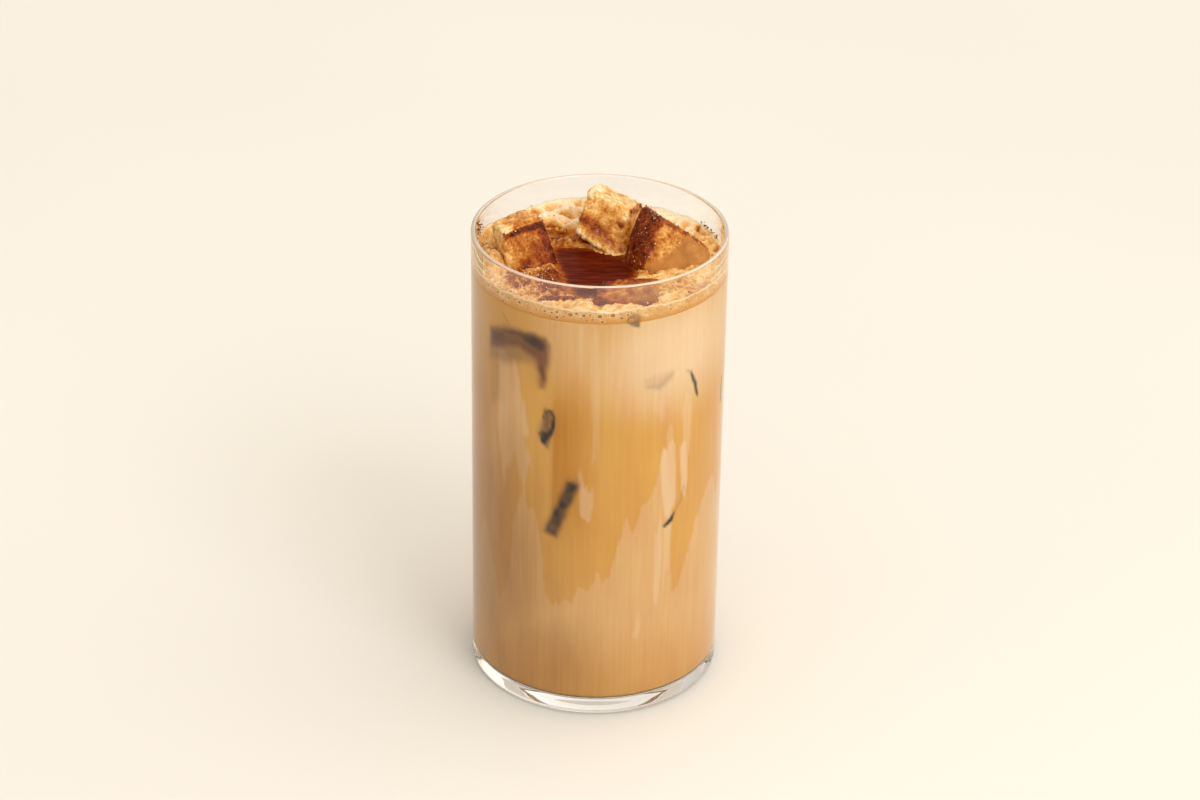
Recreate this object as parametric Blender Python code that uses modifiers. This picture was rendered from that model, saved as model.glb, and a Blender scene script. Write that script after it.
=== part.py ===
"""An iced latte in a tall straight glass, with four ice blocks standing out of the drink.

The glass is a turned shell with a rounded lip and a thick foot. The drink fills it to just under
the froth, with a pocket for each block of ice. A collar of froth lies on the drink, open in the
middle, where dark coffee stands between the blocks. Everything is in metres, +Z up, with the
origin at the centre of the glass's foot.
"""

import math

import bmesh
import bpy
from mathutils import Vector, noise

# The glass
GLASS_HEIGHT = 0.140
GLASS_RADIUS = 0.03625
WALL = 0.0013
FOOT_THICKNESS = 0.0046
FOOT_CORNER = 0.00265
INNER_CORNER = 0.0035
PUNT_RADIUS = 0.0275
PUNT_DEPTH = 0.0007
TURNED_STEPS = 72

# The levels of what is in it
GAP = 0.0003
DRINK_TOP = 0.1283
FROTH_AT_WALL = 0.1325
FROTH_INSIDE = 0.1305
FROTH_RELIEF = 0.0006
FROTH_CURL = 0.0022
COFFEE_TOP = 0.1299

# The outline of the open coffee between the blocks, in millimetres
COFFEE_OUTLINE = (
    (-13.2, 6.5), (-12.9, 0.5), (-10.8, -9.0), (-8.3, -17.5), (-6.5, -23.5), (-3.5, -25.6),
    (-0.5, -24.2), (5.0, -20.0), (13.0, -14.0), (15.0, -8.0), (12.5, -3.0), (9.8, 2.0),
    (5.0, 5.2), (0.1, 7.0), (-4.2, 8.3), (-9.0, 7.5),
)
COFFEE_STEPS = 3

# Each block, in millimetres: its four top corners, its four foot corners and a seed. Both rings
# start at the front left and go round by the front right.
ICE_BLOCKS = {
    "ice_left": (
        ((-26.8, -7.8, 142.6), (-15.9, 2.0, 142.6), (-21.0, 7.9, 142.6), (-31.0, -1.8, 142.6)),
        ((-24.8, -12.0, 117.4), (-8.4, -2.6, 117.4), (-15.2, 11.0, 117.4), (-30.4, 2.6, 117.4)),
        3,
    ),
    "ice_back": (
        ((-3.5, 16.0, 145.0), (9.2, 10.9, 140.1), (12.8, 24.2, 136.4), (-0.2, 28.6, 141.0)),
        ((-7.2, 7.3, 134.6), (6.5, 1.7, 127.4), (9.3, 14.3, 123.2), (-4.5, 19.9, 130.4)),
        11,
    ),
    "ice_right": (
        ((16.1, -0.2, 145.2), (32.3, -0.4, 134.1), (26.7, 14.0, 127.6), (11.3, 7.2, 145.2)),
        ((8.1, -11.8, 120.6), (27.5, -9.5, 120.0), (22.2, 7.9, 116.9), (2.4, -4.0, 120.6)),
        7,
    ),
    "ice_front": (
        ((-2.7, -31.3, 131.7), (16.9, -27.8, 131.7), (17.6, -12.3, 132.0), (0.3, -15.2, 131.5)),
        ((-1.8, -29.2, 119.3), (14.7, -26.1, 119.3), (15.2, -16.8, 120.3), (0.8, -17.9, 120.3)),
        5,
    ),
}
ICE_CUTS = 6
ICE_GRID_SPREAD = 1.5
ICE_ROUNDING = 10.0
ICE_WAVE = 0.0005
ICE_WAVE_LENGTH = 0.007

INNER_RADIUS = GLASS_RADIUS - WALL
FILL_RADIUS = INNER_RADIUS - GAP


def clear_scene():
    for obj in list(bpy.data.objects):
        bpy.data.objects.remove(obj)


def collection(name):
    made = bpy.data.collections.new(name)
    bpy.context.scene.collection.children.link(made)
    return made


def material(name, colour, roughness, transmission=0.0):
    made = bpy.data.materials.new(name)
    made.use_nodes = True
    shader = made.node_tree.nodes["Principled BSDF"]
    shader.inputs["Base Color"].default_value = (*colour, 1.0)
    shader.inputs["Roughness"].default_value = roughness
    shader.inputs["Metallic"].default_value = 0.0
    shader.inputs["Transmission Weight"].default_value = transmission
    return made


def arc(centre_r, centre_z, radius, first, last, steps):
    """Points of a profile on an arc, its angles in degrees from straight out."""
    for i in range(steps + 1):
        angle = math.radians(first + (last - first) * i / steps)
        yield centre_r + radius * math.cos(angle), centre_z + radius * math.sin(angle)


def turned(name, profile, where):
    """A solid of revolution. The profile ends on the axis and runs down its outer side."""
    mesh = bpy.data.meshes.new(name)
    points = [(r, 0.0, z) for r, z in profile]
    mesh.from_pydata(points, [(i, i + 1) for i in range(len(points) - 1)], [])
    obj = bpy.data.objects.new(name, mesh)
    where.objects.link(obj)
    screw = obj.modifiers.new("turn", "SCREW")
    screw.steps = screw.render_steps = TURNED_STEPS
    screw.use_merge_vertices = True
    screw.merge_threshold = 0.00001
    return obj


def made_mesh(obj):
    """Turns an object's modifiers into its own mesh."""
    graph = bpy.context.evaluated_depsgraph_get()
    obj.data = bpy.data.meshes.new_from_object(obj.evaluated_get(graph))
    obj.modifiers.clear()
    return obj


def cut(obj, cutters):
    for cutter in cutters:
        boolean = obj.modifiers.new(cutter.name, "BOOLEAN")
        boolean.operation = "DIFFERENCE"
        boolean.solver = "EXACT"
        boolean.object = cutter


def finish(obj, finish_material, smooth_angle=35):
    obj.data.materials.clear()
    obj.data.materials.append(finish_material)
    obj.data.shade_smooth()
    obj.data.set_sharp_from_angle(angle=math.radians(smooth_angle))


def glass_profile():
    lip = WALL / 2
    yield 0.0, FOOT_THICKNESS
    yield from arc(
        INNER_RADIUS - INNER_CORNER, FOOT_THICKNESS + INNER_CORNER, INNER_CORNER, -90, 0, 5
    )
    yield from arc(GLASS_RADIUS - lip, GLASS_HEIGHT - lip, lip, 180, 0, 8)
    yield from arc(GLASS_RADIUS - FOOT_CORNER, FOOT_CORNER, FOOT_CORNER, 0, -90, 6)
    yield PUNT_RADIUS, 0.0
    yield PUNT_RADIUS - 3 * PUNT_DEPTH, PUNT_DEPTH
    yield 0.0, PUNT_DEPTH


def drink_profile():
    corner = INNER_CORNER - GAP
    floor = FOOT_THICKNESS + GAP
    yield 0.0, DRINK_TOP
    yield FILL_RADIUS, DRINK_TOP
    yield from arc(FILL_RADIUS - corner, floor + corner, corner, 0, -90, 4)
    yield 0.0, floor


def froth_profile():
    """A flat collar whose top curls up where it clings to the wall."""
    for share in (0.0, 0.3, 0.55, 0.72, 0.84, 0.92):
        yield FILL_RADIUS * share, FROTH_INSIDE
    for share in (0.75, 0.4, 0.15, 0.0):
        rise = (FROTH_AT_WALL - FROTH_INSIDE) * (1 - share) ** 2
        yield FILL_RADIUS - FROTH_CURL * share, FROTH_INSIDE + rise
    yield FILL_RADIUS, DRINK_TOP + GAP
    yield 0.0, DRINK_TOP + GAP


def towards_edge(c):
    """Moves a grid line of the unit cube nearer its edge, where the rounding needs it."""
    return math.copysign(0.5 - 0.5 * (1 - 2 * abs(c)) ** ICE_GRID_SPREAD, c)


def between(corners, p):
    """A point of the unit cube, carried to the block that its eight corners span."""
    top, foot = corners
    u, v, w = p.x + 0.5, p.y + 0.5, p.z + 0.5
    rings = []
    for front_left, front_right, back_right, back_left in (foot, top):
        front = Vector(front_left).lerp(Vector(front_right), u)
        back = Vector(back_left).lerp(Vector(back_right), u)
        rings.append(front.lerp(back, v))
    return rings[0].lerp(rings[1], w) / 1000


def ice_block(name, where, grow=0.0):
    """A melted block: a cube rounded off, carried to its corners, with soft waves."""
    top, foot, seed = ICE_BLOCKS[name.partition(".")[0]]
    offset = Vector((seed * 1.7, seed * 2.3, seed * 3.1))
    block = bmesh.new()
    bmesh.ops.create_cube(block, size=1.0)
    bmesh.ops.subdivide_edges(block, edges=block.edges[:], cuts=ICE_CUTS, use_grid_fill=True)
    for vertex in block.verts:
        p = Vector([towards_edge(c) for c in vertex.co])
        norm = sum(abs(c) ** ICE_ROUNDING for c in p) ** (1 / ICE_ROUNDING)
        vertex.co = between((top, foot), p * (0.5 / norm))
    block.normal_update()
    moves = []
    for vertex in block.verts:
        wave = ICE_WAVE * noise.noise(vertex.co / ICE_WAVE_LENGTH + offset)
        moves.append(vertex.normal * (wave + grow))
    for vertex, move in zip(block.verts, moves):
        vertex.co += move
    mesh = bpy.data.meshes.new(name)
    block.to_mesh(mesh)
    block.free()
    obj = bpy.data.objects.new(name, mesh)
    where.objects.link(obj)
    return obj


def coffee_ring(spread):
    """The coffee's outline as a smooth ring, moved outwards by the spread, in metres."""
    corners = [Vector(p) / 1000 for p in COFFEE_OUTLINE]
    count = len(corners)
    ring = []
    for i in range(count):
        before, here, after, next_one = (corners[(i + k) % count] for k in (-1, 0, 1, 2))
        for step in range(COFFEE_STEPS):
            t = step / COFFEE_STEPS
            bend = (after - before) * (t * (1 - t) ** 2) - (next_one - here) * (t * t * (1 - t))
            ring.append(here.lerp(after, t * t * (3 - 2 * t)) + bend / 2)
    moved = []
    for i, p in enumerate(ring):
        along = ring[(i + 1) % len(ring)] - ring[i - 1]
        moved.append(p + Vector((-along.y, along.x)).normalized() * -spread)
    return moved


def coffee_prism(name, spread, low, high, where):
    """An upright prism over the coffee's outline."""
    mesh = bpy.data.meshes.new(name)
    prism = bmesh.new()
    base = prism.faces.new([prism.verts.new((p.x, p.y, low)) for p in coffee_ring(spread)])
    top = bmesh.ops.extrude_face_region(prism, geom=[base])
    lifted = [v for v in top["geom"] if isinstance(v, bmesh.types.BMVert)]
    bmesh.ops.translate(prism, verts=lifted, vec=(0, 0, high - low))
    bmesh.ops.recalc_face_normals(prism, faces=prism.faces[:])
    prism.to_mesh(mesh)
    prism.free()
    obj = bpy.data.objects.new(name, mesh)
    where.objects.link(obj)
    return obj


def raise_froth(obj):
    """Gives the froth's top its low lumps, kept off its outer edge and its underside."""
    for vertex in obj.data.vertices:
        p = vertex.co
        if p.z < FROTH_INSIDE - GAP:
            continue
        lump = noise.noise(Vector((p.x, p.y, 0.0)) * 180.0 + Vector((9.0, 2.0, 5.0)))
        vertex.co.z += FROTH_RELIEF * lump


def hide_cutters(cutters):
    for cutter in cutters:
        cutter.hide_render = True
        cutter.display_type = "WIRE"


def build():
    clear_scene()
    parts = collection("iced_latte")
    helpers = collection("cutters")
    clear_glass = material("soda_lime_glass", (0.95, 0.97, 0.96), 0.0, 1.0)
    milky_coffee = material("milky_coffee", (0.56, 0.32, 0.13), 0.25)
    milk_froth = material("milk_froth", (0.80, 0.60, 0.33), 0.5)
    black_coffee = material("black_coffee", (0.09, 0.02, 0.01), 0.2)
    dusted_ice = material("dusted_ice", (0.50, 0.28, 0.10), 0.3, 0.4)

    pockets = [ice_block(name + ".pocket", helpers, GAP) for name in ICE_BLOCKS]
    hole = coffee_prism("coffee_hole", GAP, DRINK_TOP - GAP, FROTH_AT_WALL + GAP, helpers)
    hide_cutters([*pockets, hole])

    glass = turned("glass", glass_profile(), parts)
    finish(glass, clear_glass)

    latte = turned("latte", drink_profile(), parts)
    cut(latte, pockets)
    finish(latte, milky_coffee)

    froth = made_mesh(turned("froth", froth_profile(), parts))
    raise_froth(froth)
    froth.modifiers.new("facets", "TRIANGULATE")
    cut(froth, [hole, *pockets])
    finish(froth, milk_froth)

    coffee = coffee_prism("coffee", 0.0, DRINK_TOP + GAP, COFFEE_TOP, parts)
    cut(coffee, pockets)
    finish(coffee, black_coffee)

    for name in ICE_BLOCKS:
        finish(ice_block(name, parts), dusted_ice)


build()
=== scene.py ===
# %% [markdown]
# # An iced latte in a tall straight glass
# Cold milk and coffee are poured over ice, and the froth of the coffee rises into a collar at
# the top. Coffee powder is dusted on the ice that stands out. The imported model gives every
# size and place, so it is loaded first.

# %% Load the imported model
import math
import random

import bmesh
import bpy
import numpy as np
from mathutils import Matrix, Vector, noise


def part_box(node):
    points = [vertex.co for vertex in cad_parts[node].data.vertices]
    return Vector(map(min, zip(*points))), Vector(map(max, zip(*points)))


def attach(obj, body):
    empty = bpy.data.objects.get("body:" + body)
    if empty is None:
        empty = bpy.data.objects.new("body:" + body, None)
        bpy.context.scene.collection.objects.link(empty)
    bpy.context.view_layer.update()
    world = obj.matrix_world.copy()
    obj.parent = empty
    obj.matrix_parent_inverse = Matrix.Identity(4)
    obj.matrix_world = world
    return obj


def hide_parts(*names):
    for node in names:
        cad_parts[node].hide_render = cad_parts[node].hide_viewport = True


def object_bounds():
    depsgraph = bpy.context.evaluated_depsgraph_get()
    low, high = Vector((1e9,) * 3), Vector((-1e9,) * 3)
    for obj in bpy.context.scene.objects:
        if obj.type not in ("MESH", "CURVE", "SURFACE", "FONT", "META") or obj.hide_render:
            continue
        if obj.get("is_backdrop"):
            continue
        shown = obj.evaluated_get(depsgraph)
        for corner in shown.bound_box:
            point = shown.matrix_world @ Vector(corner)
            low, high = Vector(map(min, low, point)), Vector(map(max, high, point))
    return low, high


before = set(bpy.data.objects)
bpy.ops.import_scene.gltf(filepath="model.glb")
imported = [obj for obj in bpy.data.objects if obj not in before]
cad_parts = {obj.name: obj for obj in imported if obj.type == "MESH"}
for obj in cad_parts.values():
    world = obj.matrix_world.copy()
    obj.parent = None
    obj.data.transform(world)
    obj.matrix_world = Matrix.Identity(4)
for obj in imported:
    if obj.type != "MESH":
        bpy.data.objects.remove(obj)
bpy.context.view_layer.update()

MM = 0.001

# %% [markdown]
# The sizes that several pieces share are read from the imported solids. The drink's solid stops
# a gap of 0.3 mm short of the glass, so the glass's inner radius is that much larger. The drawn
# drink bites a little into the wall instead, as a film of air between them would shine.

# %% Read the sizes
GAP = 0.3 * MM
WALL_BITE = 0.15 * MM
glass_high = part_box("glass")[1]
drink_low, drink_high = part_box("latte")
GLASS_RADIUS = glass_high.x
GLASS_HEIGHT = glass_high.z
INNER_RADIUS = drink_high.x + GAP
FLOOR = drink_low.z - GAP
DRINK_TOP = drink_high.z
COFFEE_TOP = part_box("coffee")[1].z
print("glass", round(GLASS_RADIUS / MM, 2), "by", round(GLASS_HEIGHT / MM, 2), "mm")
print("drink from", round(FLOOR / MM, 2), "to", round(DRINK_TOP / MM, 2), "mm")

# %% [markdown]
# Shaders work with linear light, but people pick colours on a screen, which is sRGB. So each
# colour below is an sRGB hex value, and one function turns it to linear.
# One more function adds a node to a material: its sockets are linked where the value given is
# another node's socket, and set where it is a plain number or colour.

# %% Colours and nodes
def linear(colour):
    """An sRGB hex colour as the linear colour that shaders take."""
    parts = [int(colour[i:i + 2], 16) / 255 for i in (1, 3, 5)]
    return (*[c / 12.92 if c <= 0.04045 else ((c + 0.055) / 1.055) ** 2.4 for c in parts], 1.0)


def add(tree, kind, inputs=None, stops=None, **settings):
    """Adds a node with its settings, its sockets' values or links, and its ramp's stops."""
    node = tree.nodes.new("ShaderNode" + kind)
    for name, value in settings.items():
        setattr(node, name, value)
    for socket, value in (inputs or {}).items():
        if isinstance(value, bpy.types.NodeSocket):
            tree.links.new(value, node.inputs[socket])
        else:
            node.inputs[socket].default_value = value
    for i, (place, colour) in enumerate(stops or []):
        ramp = node.color_ramp.elements
        element = ramp[i] if i < 2 else ramp.new(place)
        element.position = place
        element.color = colour if isinstance(colour, tuple) else (colour, colour, colour, 1.0)
    return node


def new_material(name, values):
    """A material with a Principled shader, whose own sockets take the values."""
    material = bpy.data.materials.new(name)
    material.use_nodes = True
    shader = material.node_tree.nodes["Principled BSDF"]
    for socket, value in values.items():
        shader.inputs[socket].default_value = value
    return material, material.node_tree, shader


print("milk froth in linear light:", [round(c, 3) for c in linear("#E3B57C")])

# %% [markdown]
# Most of the pieces are turned: the glass, the drink and the froth. A profile is a list of
# points, radius and height, with its first and last point on the axis. Turning it by hand
# rather than with a Screw modifier gives every point a known azimuth, and the drink's marks
# need that. Azimuth 0 is the front, and it grows towards the right. The other pieces come
# from lists of points or from a bmesh, and all of them are put in the scene in one way.

# %% Turn a profile
def arc(centre_r, centre_z, radius, first, last, steps):
    """Points of a profile on an arc, its angles in degrees from straight out."""
    for i in range(steps + 1):
        angle = math.radians(first + (last - first) * i / steps)
        yield centre_r + radius * math.cos(angle), centre_z + radius * math.sin(angle)


def turned(name, profile, columns):
    """A closed mesh of a profile turned round the axis, and its object."""
    rings = np.array(profile[1:-1])
    turn = np.radians(-180 + 360 * np.arange(columns) / columns)
    r, z = np.repeat(rings, columns, axis=0).T
    a = np.tile(turn, len(rings))
    points = np.stack([r * np.sin(a), -r * np.cos(a), z], axis=1)
    points = [(0, 0, profile[0][1]), *points.tolist(), (0, 0, profile[-1][1])]
    last = len(points) - 1
    faces = []
    for i in range(columns):
        j = (i + 1) % columns
        faces.append((0, 1 + i, 1 + j))
        foot = 1 + (len(rings) - 1) * columns
        faces.append((last, foot + j, foot + i))
        for k in range(len(rings) - 1):
            top, low = 1 + k * columns, 1 + (k + 1) * columns
            faces.append((top + i, low + i, low + j, top + j))
    return new_piece(name, points, faces)


def new_piece(name, points, faces, smooth_angle=180):
    """An object from points and faces."""
    mesh = bpy.data.meshes.new(name)
    mesh.from_pydata(points, [], faces)
    return put_in_scene(name, mesh, smooth_angle)


def from_bmesh(name, made, smooth_angle=180):
    """An object from a bmesh, which is freed."""
    mesh = bpy.data.meshes.new(name)
    made.to_mesh(mesh)
    made.free()
    return put_in_scene(name, mesh, smooth_angle)


def put_in_scene(name, mesh, smooth_angle):
    """An object of a mesh, shaded smooth up to an angle in degrees."""
    mesh.shade_smooth()
    if smooth_angle < 180:
        mesh.set_sharp_from_angle(angle=math.radians(smooth_angle))
    piece = bpy.data.objects.new(name, mesh)
    bpy.context.scene.collection.objects.link(piece)
    return piece


def dress(piece, material, slot, *nodes):
    """Gives a piece its material, puts it under the root and hides the solids it stands for. The slot is
    not used.
    """
    piece.data.materials.append(material)
    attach(piece, "root")
    if nodes:
        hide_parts(*nodes)
    print(piece.name, len(piece.data.vertices), "points,", len(piece.data.polygons), "faces")
    return piece


def give(piece, name, values):
    """Stores one number for each point of a piece, for its material to read."""
    layer = piece.data.attributes.new(name, "FLOAT", "POINT")
    layer.data.foreach_set("value", np.asarray(values, dtype=np.float32))


# %% [markdown]
# ## The glass
# Clear soda-lime glass, pressed thin, with a fire-polished lip and a thick foot.
# Its index is 1.5 and it has no roughness, so only its edges are seen: the lip, the foot and
# the line where the drink begins. A glass stops the light of lamps in a path tracer, as it
# can't aim through a refraction, so for shadow rays alone the surface is let through.
# The lip was melted round in a flame. Clear glass as thin as that is lost against a pale
# floor, so the lip has a material of its own, nearly white and only partly clear: a painted
# highlight for the bright line that the round lip shows.

# %% Glass material
soda_lime_glass, tree, shader = new_material("soda_lime_glass", {
    "Base Color": linear("#FFFFFF"), "Roughness": 0.0, "IOR": 1.5, "Transmission Weight": 1.0,
})
for_lamps = add(tree, "BsdfTransparent", {"Color": linear("#FAFCF8")})
ray = add(tree, "LightPath")
either = add(tree, "MixShader", {
    0: ray.outputs["Is Shadow Ray"], 1: shader.outputs[0], 2: for_lamps.outputs[0],
})
tree.links.new(either.outputs[0], tree.nodes["Material Output"].inputs["Surface"])
lip_painted_highlight = new_material("lip_painted_highlight", {
    "Base Color": linear("#FFFDFA"), "Roughness": 0.12, "IOR": 1.5, "Transmission Weight": 0.6,
})[0]

# %% [markdown]
# The wall is 1.3 mm and the lip is a half round. The foot is 4.6 mm thick, with a shallow
# hollow below, so that it rests on a ring. Light that enters the foot runs along inside it. A
# step in the hollow would let it out and leave a dark band, so the hollow is a smooth dome.
# The arcs get many steps here, because a lip that shines shows every facet.

# %% Glass
WALL = GLASS_RADIUS - INNER_RADIUS
FOOT_CORNER = 2.0 * MM
INNER_CORNER = 1.8 * MM
CORNER_STEPS = 14
HOLLOW_RADIUS = 27.5 * MM
HOLLOW_DEPTH = 0.7 * MM
ROUND_STEPS = 16
GLASS_COLUMNS = 256


def dome_points():
    """Points of the dome under the foot, from its edge inwards."""
    for i in range(1, ROUND_STEPS):
        share = 1 - i / ROUND_STEPS
        yield HOLLOW_RADIUS * share, HOLLOW_DEPTH * (1 - share ** 2)


lip = WALL / 2
glass_profile = [
    (0.0, FLOOR),
    *arc(INNER_RADIUS - INNER_CORNER, FLOOR + INNER_CORNER, INNER_CORNER, -90, 0, CORNER_STEPS),
    *arc(GLASS_RADIUS - lip, GLASS_HEIGHT - lip, lip, 180, 0, ROUND_STEPS),
    *arc(GLASS_RADIUS - FOOT_CORNER, FOOT_CORNER, FOOT_CORNER, 0, -90, CORNER_STEPS),
    (HOLLOW_RADIUS, 0.0),
    *dome_points(),
    (0.0, HOLLOW_DEPTH),
]
glass = turned("clear_glass", glass_profile, GLASS_COLUMNS)
dress(glass, soda_lime_glass, "clear_glass", "glass")
# The top of the lip takes the nearly white material, a painted highlight.
glass.data.materials.append(lip_painted_highlight)
lip_starts = GLASS_HEIGHT - 0.4 * lip
for face in glass.data.polygons:
    if face.center.z > lip_starts:
        face.material_index = 1

# %% [markdown]
# ## The drink
# Milk sinks in cold coffee and mixes from below, so the lower third is an even milk-coffee
# brown, tongues of it rise into the amber above, and pale streaks of milk cling to the wall.
# Corners of sunk ice press against the glass and show as dark, soft-edged marks.
# The drink is one turned solid whose side has a point about every 0.6 mm. Each point gets
# numbers that say how milky, how amber or how dark it is there, and the material mixes its
# colours by them. So the marks lie where they should from every side, with no picture at all.

# %% The drink's body
DRINK_COLUMNS = 420
SIDE_STEP = 0.6 * MM
FLOOR_STEPS = 10

drink_radius = INNER_RADIUS + WALL_BITE
drink_floor = FLOOR + WALL_BITE
corner = INNER_CORNER + WALL_BITE
side_low = drink_floor + corner
side_rows = round((DRINK_TOP - side_low) / SIDE_STEP)
drink_profile = [
    (0.0, DRINK_TOP),
    (drink_radius * 0.7, DRINK_TOP),
    *[(drink_radius, DRINK_TOP + (side_low - DRINK_TOP) * i / side_rows) for i in range(side_rows)],
    *arc(drink_radius - corner, side_low, corner, 0, -90, FLOOR_STEPS),
    (0.0, drink_floor),
]
drink = turned("milky_drink", drink_profile, DRINK_COLUMNS)

# %% [markdown]
# The side is treated as a sheet, unrolled: an azimuth in degrees and a height in millimetres.
# A mark is an outline on that sheet. For each point of the side, the distance to the outline
# says how far inside it lies, and a soft step turns that into a strength from 0 to 1.
# A stroke is a line of a given thickness, such as the edge of a piece of ice. Both measure
# the way to straight pieces of a line, so one function does that, and later the open coffee's
# outline uses it too.

# %% Marks on the side
def unrolled(piece):
    """Azimuth in degrees and height in millimetres of each point."""
    points = np.empty(len(piece.data.vertices) * 3)
    piece.data.vertices.foreach_get("co", points)
    x, y, z = points.reshape(-1, 3).T
    return np.degrees(np.arctan2(x, -y)), z / MM


def soft_step(value, low, high):
    t = np.clip((value - low) / (high - low), 0, 1)
    return t * t * (3 - 2 * t)


def around(azimuth, centre):
    """How far along the wall each azimuth lies from a centre, in millimetres."""
    return ((azimuth - centre + 180) % 360 - 180) * math.radians(1) * INNER_RADIUS / MM


def to_segment(x, y, start, end):
    """Where along a segment each point is nearest to it, from 0 to 1, and the distance."""
    dx, dy = end[0] - start[0], end[1] - start[1]
    t = np.clip(((x - start[0]) * dx + (y - start[1]) * dy) / (dx * dx + dy * dy), 0, 1)
    return t, np.hypot(x - start[0] - t * dx, y - start[1] - t * dy)


def within(x, y, ring):
    """Distance from points to a closed ring of corners, positive inside it."""
    nearest = np.full(len(x), 1e9)
    inside = np.zeros(len(x), bool)
    for start, end in zip(ring, ring[1:] + ring[:1]):
        nearest = np.minimum(nearest, to_segment(x, y, start, end)[1])
        dx, dy = end[0] - start[0], end[1] - start[1]
        if dy:
            crosses = (start[1] > y) != (end[1] > y)
            inside ^= crosses & (x < start[0] + (y - start[1]) / dy * dx)
    return np.where(inside, nearest, -nearest)


def patch(side, outline, soft):
    """Strength inside a closed outline of azimuths and heights, with a soft edge in mm."""
    azimuth, height = side
    centre = sum(a for a, _ in outline) / len(outline)
    corners = [(around(a, centre), z) for a, z in outline]
    return soft_step(within(around(azimuth, centre), height, corners), -soft, soft)


def stroke(side, line, soft):
    """Strength along a line of azimuths, heights and half widths, with a soft edge in mm."""
    azimuth, height = side
    centre = line[0][0]
    s = around(azimuth, centre)
    depth = np.full(len(s), -1e9)
    for (a0, z0, w0), (a1, z1, w1) in zip(line, line[1:]):
        t, gap = to_segment(s, height, (around(a0, centre), z0), (around(a1, centre), z1))
        depth = np.maximum(depth, w0 + t * (w1 - w0) - gap)
    return soft_step(depth, -soft, soft)


def ripple(points, size, seed, stretch=1.0):
    """Smooth noise from -1 to 1 at each point, with waves of a size in mm, longer upwards."""
    scale = (1 / size, 1 / size, 1 / (size * stretch))
    shift = (seed * 1.7, seed * 2.3, seed * 3.1)
    at = points * np.array(scale) + np.array(shift)
    return np.array([noise.noise(p) for p in at.tolist()])


def on_wall(azimuth, height, radius=INNER_RADIUS):
    """The places of azimuths and heights on the wall, in millimetres."""
    a = np.radians(azimuth)
    r = radius / MM
    return np.stack([r * np.sin(a), -r * np.cos(a), np.asarray(height)], axis=1)


drink_side = unrolled(drink)
print("side points:", len(drink_side[0]))

# %% [markdown]
# The tongues of milk: the upper edge of the milk-coffee brown, as azimuth and height. The
# front is as the real drink shows it. The back isn't known, so a seeded rule raises tongues
# of the same sizes there. Fine upright noise tears the edge, as poured milk does.

# %% Tongues of milk
FRONT_TONGUES = [
    (-84, 34), (-75, 34), (-68, 47), (-64, 56), (-60, 51), (-55.5, 43), (-50, 31), (-45, 40),
    (-41.9, 52), (-40.6, 62), (-38.4, 67), (-35.4, 74), (-33.6, 67), (-28.8, 66), (-26, 58),
    (-23.5, 42), (-20, 36), (-11, 39), (-2, 43), (1, 49), (3, 46), (6.6, 48), (10.5, 57),
    (13.6, 65), (15.5, 62), (18, 63), (20.6, 68), (25.4, 72), (28.8, 76), (31, 84), (34, 86),
    (37, 72), (38.8, 39), (41, 39), (44, 41), (48.4, 50), (51.5, 57), (56.6, 62), (61.6, 66),
    (68, 70), (73, 61), (79, 68), (86, 52),
]

draw = random.Random(41)
back_tongues = []
place = 94.0
while place < 268:
    low = draw.uniform(32, 44)
    high = draw.uniform(54, 84)
    width = draw.uniform(7, 15)
    back_tongues += [(place, low), (place + width * 0.35, high - 8), (place + width * 0.55, high)]
    back_tongues += [(place + width * 0.75, high * 0.75)]
    place += width + draw.uniform(1, 4)
tongues = sorted(FRONT_TONGUES + [(a if a < 180 else a - 360, z) for a, z in back_tongues])
tongues = [(tongues[-1][0] - 360, tongues[-1][1]), *tongues, (tongues[0][0] + 360, tongues[0][1])]

azimuth, height = drink_side
wall_points = on_wall(azimuth, height)
torn = 2.6 * ripple(wall_points, 1.5, 4, 14) + 1.4 * ripple(wall_points, 0.7, 9, 16)
sway = 1.6 * ripple(wall_points, 9.0, 2, 3)
tongue_edge = np.interp(azimuth + sway, *zip(*tongues)) + torn
milk_rise = soft_step(tongue_edge - height, -0.3, 0.3)
print("tongues:", len(tongues), "highest", max(z for _, z in tongues), "mm")

# %% [markdown]
# The pale streaks: milk that runs down the wall with sharp sides. Each one is an outline, and
# a strength. The back gets its own by the same seeded rule.

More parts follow.
